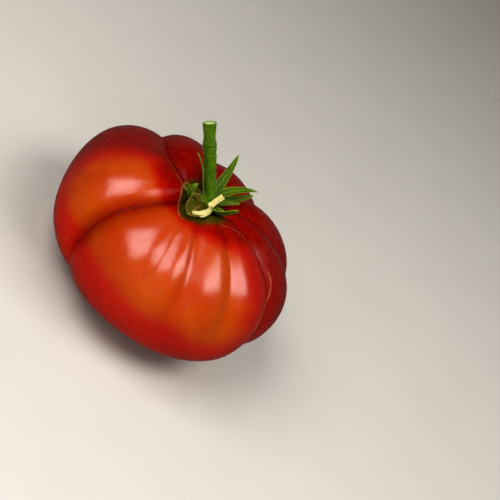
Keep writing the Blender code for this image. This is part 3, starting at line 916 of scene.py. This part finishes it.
def maths(operation, first, second=0.0):
    """One step of arithmetic on a socket and a number or another socket."""
    made = add_node(first.id_data, "Math", operation=operation)
    for socket, value in zip(made.inputs, (first, second)):
        feed(socket, value)
    return made.outputs[0]


def plus(first, second):
    """The sum of two sockets."""
    return maths("ADD", first, second)


def times(first, second):
    """A socket times a number or another socket."""
    return maths("MULTIPLY", first, second)


def spread(value, low, high, start=0.0, end=1.0):
    """A value that goes smoothly from start to end as another goes from low to high."""
    inputs = {"Value": value, "From Min": low, "From Max": high, "To Min": start, "To Max": end}
    return add_node(value.id_data, "MapRange", inputs, interpolation_type="SMOOTHSTEP").outputs[0]


def object_place(tree):
    """Coordinates that stay with the object, in metres."""
    return add_node(tree, "TexCoord").outputs["Object"]


def value_of(tree, name):
    """A number stored at each point of the mesh."""
    return add_node(tree, "Attribute", attribute_name=name).outputs["Fac"]


def cloud(place, size, detail=2.0):
    """Soft noise from 0 to 1 with blobs of a size in millimetres."""
    inputs = {"Vector": place, "Scale": 1.0 / (size * MM), "Detail": detail}
    return add_node(place.id_data, "TexNoise", inputs).outputs["Fac"]


def specks(place, cell, size, share):
    """Small round dots, in a share of the cells of a size in millimetres."""
    tree = place.id_data
    cells = add_node(tree, "TexVoronoi", {"Vector": place, "Scale": 1.0 / (cell * MM)})
    dot = spread(cells.outputs["Distance"], size, size * 0.5)
    pick = add_node(tree, "SeparateColor", {"Color": cells.outputs["Color"]}).outputs[0]
    return times(dot, maths("LESS_THAN", pick, share))


def grained(tree, surface):
    """Object coordinates, and a surface's fine grain and broad patches."""
    place = object_place(tree)
    return place, cloud(place, surface.grain, surface.detail), cloud(place, surface.patch)


def dress(shader, tone, rough, height, relief):
    """Gives a shader its colour, its roughness and fine relief of a depth in millimetres."""
    inputs = {"Height": height, "Distance": relief * MM, "Strength": 1.0}
    feed(shader.inputs["Base Color"], tone)
    feed(shader.inputs["Roughness"], rough)
    feed(shader.inputs["Normal"], add_node(shader.id_data, "Bump", inputs).outputs[0])


def add_glow(shader, weight, radius, reach):
    """Light that goes a little way below the surface."""
    shader.inputs["Subsurface Weight"].default_value = weight
    shader.inputs["Subsurface Radius"].default_value = radius
    shader.inputs["Subsurface Scale"].default_value = reach


def painted_light_and_shade_tone(tree, broad):
    """Red in patches, orange in the riper band with painted light, and darker with painted shade.
    """
    patches = times(broad, 0.5)
    red = mix(spread(broad, 0.3, 0.7), *SKIN_RED)
    orange = mix(spread(broad, 0.4, 0.65), *SKIN_ORANGE)
    sunny = spread(plus(value_of(tree, "sun"), patches), 0.3, 1.15)
    shaded = spread(plus(value_of(tree, "shade"), patches), 0.3, 1.2)
    return mix(shaded, mix(sunny, red, orange), SKIN_PAINTED_SHADE)


def crease_shaded_tone(tree, tone, fine):
    """A tone darkened with painted shade in the creases, most along their bottom, and finely
    flecked.
    """
    deep = spread(value_of(tree, "crease"), 0.45, 1.0, 0.0, 0.7)
    groove = spread(value_of(tree, "groove"), 0.2, 1.0, 0.0, 0.5)
    flecks = spread(fine, 0.3, 0.8, 0.0, 0.12)
    tone = mix(deep, tone, SKIN_CREASE_SHADE)
    tone = mix(groove, tone, SKIN_GROOVE_SHADE)
    return mix(flecks, tone, SKIN_FLECK)


def skin_material():
    """Ripe skin: painted light and shade, creases, olive at the calyx, pale dots and seam cork."""
    material, tree, shader = new_material("ripe_skin")
    place, fine, broad = grained(tree, SKIN)
    tint = plus(value_of(tree, "olive"), times(fine, 0.5))
    brown, olive = spread(tint, 0.2, 0.8), spread(tint, 0.6, 1.2)
    dots = times(specks(place, *SKIN_SPECKS), 0.4)
    cork = spread(plus(value_of(tree, "cork"), times(fine, 0.4)), 0.6, 1.3)
    tone = crease_shaded_tone(tree, painted_light_and_shade_tone(tree, broad), fine)
    tone = mix(brown, tone, SKIN_BROWN)
    tone = mix(olive, tone, SKIN_OLIVE)
    tone = mix(dots, tone, SKIN_DOT)
    tone = mix(times(cork, 0.8), tone, SKIN_CORK)
    rough = spread(fine, 0.3, 0.7, *SKIN.roughness)
    rough = plus(rough, times(olive, 0.25))
    rough = plus(rough, times(cork, 0.25))
    gloss = spread(value_of(tree, "crease"), 0.3, 0.85, *SKIN_GLOSS)
    dulled = spread(value_of(tree, "rim"), 0.0, 0.55, 1.0, RIM_GLOSS)
    dress(shader, tone, rough, cloud(place, PORE_SIZE, 3.0), SKIN.relief)
    feed(shader.inputs["Specular IOR Level"], times(gloss, dulled))
    add_glow(shader, *SKIN_GLOW)
    return material


def cork_material():
    """Dry tan cork, darker in its pits, with redder patches."""
    material, tree, shader = new_material("cork")
    _, fine, blotch = grained(tree, CORK)
    tone = mix(spread(fine, 0.35, 0.65), *CORK_TAN)
    tone = mix(spread(blotch, 0.4, 0.65, 0.0, 0.7), tone, CORK_STAIN)
    dress(shader, tone, spread(fine, 0.2, 0.8, *CORK.roughness), fine, CORK.relief)
    return material


def sepal_material(name, green, margin):
    """A sepal: darker in patches, and pale along its keel, at its margins and at its tip."""
    material, tree, shader = new_material(name)
    _, fine, blotch = grained(tree, SEPAL)
    across = maths("ABSOLUTE", value_of(tree, "across"))
    edge = plus(across, times(fine, 0.14))
    tip = plus(value_of(tree, "along"), times(blotch, 0.2))
    dark = (*[SEPAL_DARKNESS * part for part in green[:3]], 1.0)
    tone = mix(spread(blotch, 0.3, 0.7, 0.0, 0.45), green, dark)
    for pale in (
        spread(fine, 0.35, 0.7, 0.0, 0.25),
        spread(across, 0.16, 0.02, 0.0, 0.5),
        spread(edge, 0.93, 1.06, 0.0, 0.85),
        spread(tip, 0.95, 1.12, 0.0, 0.6),
    ):
        tone = mix(pale, tone, margin)
    dress(shader, tone, spread(fine, 0.2, 0.8, *SEPAL.roughness), fine, SEPAL.relief)
    shader.inputs["Specular IOR Level"].default_value = GREEN_GLOSS
    add_glow(shader, *SEPAL_GLOW)
    return material


def stalk_material():
    """Green stalk with pale lengthwise streaks and dots, and a moist pale cut face."""
    material, tree, shader = new_material("stalk_green")
    place, fine, blotch = grained(tree, STALK)
    inputs = {"Vector": place, "Scale": STREAK_SCALE}
    streaks = cloud(add_node(tree, "Mapping", inputs).outputs[0], STREAK_SIZE, 3.0)
    dots = times(specks(place, *STALK_SPECKS), 0.5)
    cut = value_of(tree, "cut")
    face = mix(spread(cut, 0.55, 0.75), *CUT_FACE)
    tone = mix(spread(blotch, 0.35, 0.65), *STALK_GREEN)
    tone = mix(spread(streaks, 0.5, 0.72, 0.0, 0.4), tone, STALK_STREAK)
    tone = mix(dots, tone, STALK_DOT)
    tone = mix(spread(cut, 0.2, 0.5), tone, face)
    rough = spread(fine, 0.2, 0.8, *STALK.roughness)
    dress(shader, tone, rough, plus(fine, streaks), STALK.relief)
    shader.inputs["Specular IOR Level"].default_value = GREEN_GLOSS
    add_glow(shader, *STALK_GLOW)
    return material


def straw_material():
    """Dry cream fibres, browner in places."""
    material, tree, shader = new_material("dry_straw")
    _, fine, blotch = grained(tree, STRAW)
    across = add_node(tree, "CombineXYZ", {"X": value_of(tree, "across")}).outputs[0]
    inputs = {"Vector": across, "Scale": STRAW_FIBRES[0], "Distortion": STRAW_FIBRES[1]}
    wave = add_node(tree, "TexWave", inputs).outputs["Fac"]
    lines = spread(wave, 0.2, 0.9)
    tone = mix(lines, *STRAW_CREAM)
    tone = mix(spread(blotch, 0.45, 0.75, 0.0, 0.7), tone, STRAW_STAIN)
    rough = spread(fine, 0.2, 0.8, *STRAW.roughness)
    dress(shader, tone, rough, plus(fine, lines), STRAW.relief)
    return material


def hair_material():
    """Pale translucent hairs, some of them greener."""
    material, tree, shader = new_material("pale_hair")
    tone = mix(cloud(object_place(tree), HAIR_PATCH), *HAIR_TONES)
    feed(shader.inputs["Base Color"], tone)
    shader.inputs["Roughness"].default_value = HAIR_ROUGHNESS
    shader.inputs["Transmission Weight"].default_value = HAIR_CLEARNESS
    return material


def picture_axes():
    """The picture's right, its up and the direction to the viewer, before the camera is aimed."""
    tilt, roll = math.radians(VIEW_ELEVATION), math.radians(VIEW_ROLL)
    level = Vector((1.0, 0.0, 0.0))
    rise = Vector((0.0, math.sin(tilt), math.cos(tilt)))
    back = Vector((0.0, -math.cos(tilt), math.sin(tilt)))
    right = level * math.cos(roll) + rise * math.sin(roll)
    up = rise * math.cos(roll) - level * math.sin(roll)
    return right, up, back


def placement(place, backward, up):
    """Places a camera or lamp at a point in millimetres, with its back to a direction."""
    backward = backward.normalized()
    sideways = up.cross(backward).normalized()
    turn = Matrix((sideways, backward.cross(sideways), backward)).transposed().to_4x4()
    return Matrix.Translation(place * MM) @ turn


def add_camera():
    """The camera, aimed so that the fruit lies where the photograph has it."""
    right, up, back = picture_axes()
    centre = Vector(VIEW_CENTRE)
    middle = IMAGE_SIZE / 2.0
    aside = right * (middle - FRUIT_PIXEL[0]) * SCALE
    target = centre + aside - up * (middle - FRUIT_PIXEL[1]) * SCALE
    place = centre + back * VIEW_DISTANCE
    camera = bpy.data.objects.new("camera", bpy.data.cameras.new("camera"))
    camera.data.sensor_width = SENSOR
    camera.data.lens = SENSOR * VIEW_DISTANCE / (IMAGE_SIZE * SCALE)
    camera.matrix_world = placement(place, place - target, up)
    bpy.context.scene.collection.objects.link(camera)
    bpy.context.scene.camera = camera


def add_lamps():
    """Soft boxes, placed by their directions in the picture."""
    right, up, back = picture_axes()
    for index, lamp in enumerate(LAMPS):
        rise, side = math.radians(lamp.elevation), math.radians(lamp.sideways)
        level = back * math.cos(side) + right * math.sin(side)
        towards = up * math.sin(rise) + level * math.cos(rise)
        light = bpy.data.lights.new(f"softbox_{index}", "AREA")
        light.shape = "RECTANGLE"
        light.size = lamp.width * MM
        light.size_y = lamp.height * MM
        light.energy = lamp.power
        light.color = LAMP_COLOUR
        thing = bpy.data.objects.new(light.name, light)
        thing.visible_glossy = lamp.shines
        place = Vector(VIEW_CENTRE) + towards * lamp.distance
        thing.matrix_world = placement(place, towards, up)
        bpy.context.scene.collection.objects.link(thing)


def add_world():
    """An even, dim room."""
    world = bpy.data.worlds.new("room")
    world.use_nodes = True
    background = world.node_tree.nodes["Background"]
    background.inputs["Color"].default_value = ROOM_COLOUR
    background.inputs["Strength"].default_value = ROOM_STRENGTH
    bpy.context.scene.world = world


def floor_material():
    """Pale matt board with a faint mottle."""
    material, tree, shader = new_material("pale_board")
    mottle = cloud(object_place(tree), FLOOR_PATCH, 4.0)
    feed(shader.inputs["Base Color"], mix(mottle, *FLOOR_TONES))
    shader.inputs["Roughness"].default_value = FLOOR_ROUGHNESS
    return material


def add_floor():
    """A wide plain floor that the fruit stands on."""
    half = FLOOR_SIZE / 2.0 * MM
    mesh = bpy.data.meshes.new("floor")
    corners = [(-half, -half, 0.0), (half, -half, 0.0), (half, half, 0.0), (-half, half, 0.0)]
    mesh.from_pydata(corners, [], [(0, 1, 2, 3)])
    mesh.materials.append(floor_material())
    floor = bpy.data.objects.new("floor", mesh)
    bpy.context.scene.collection.objects.link(floor)
    floor.visible_glossy = False  # the skin doesn't mirror it


def main():
    """Sets the picture's tones and builds the room, the fruit and its calyx."""
    bpy.context.scene.view_settings.view_transform = "Standard"
    bpy.context.scene.view_settings.look = "High Contrast"
    add_camera()
    add_world()
    add_lamps()
    add_floor()
    build_fruit(skin_material())
    cork = cork_material()
    for seam in SEAMS:
        build_seam(seam, cork)
    build_calyx()


HEIGHTS = height_table()
main()
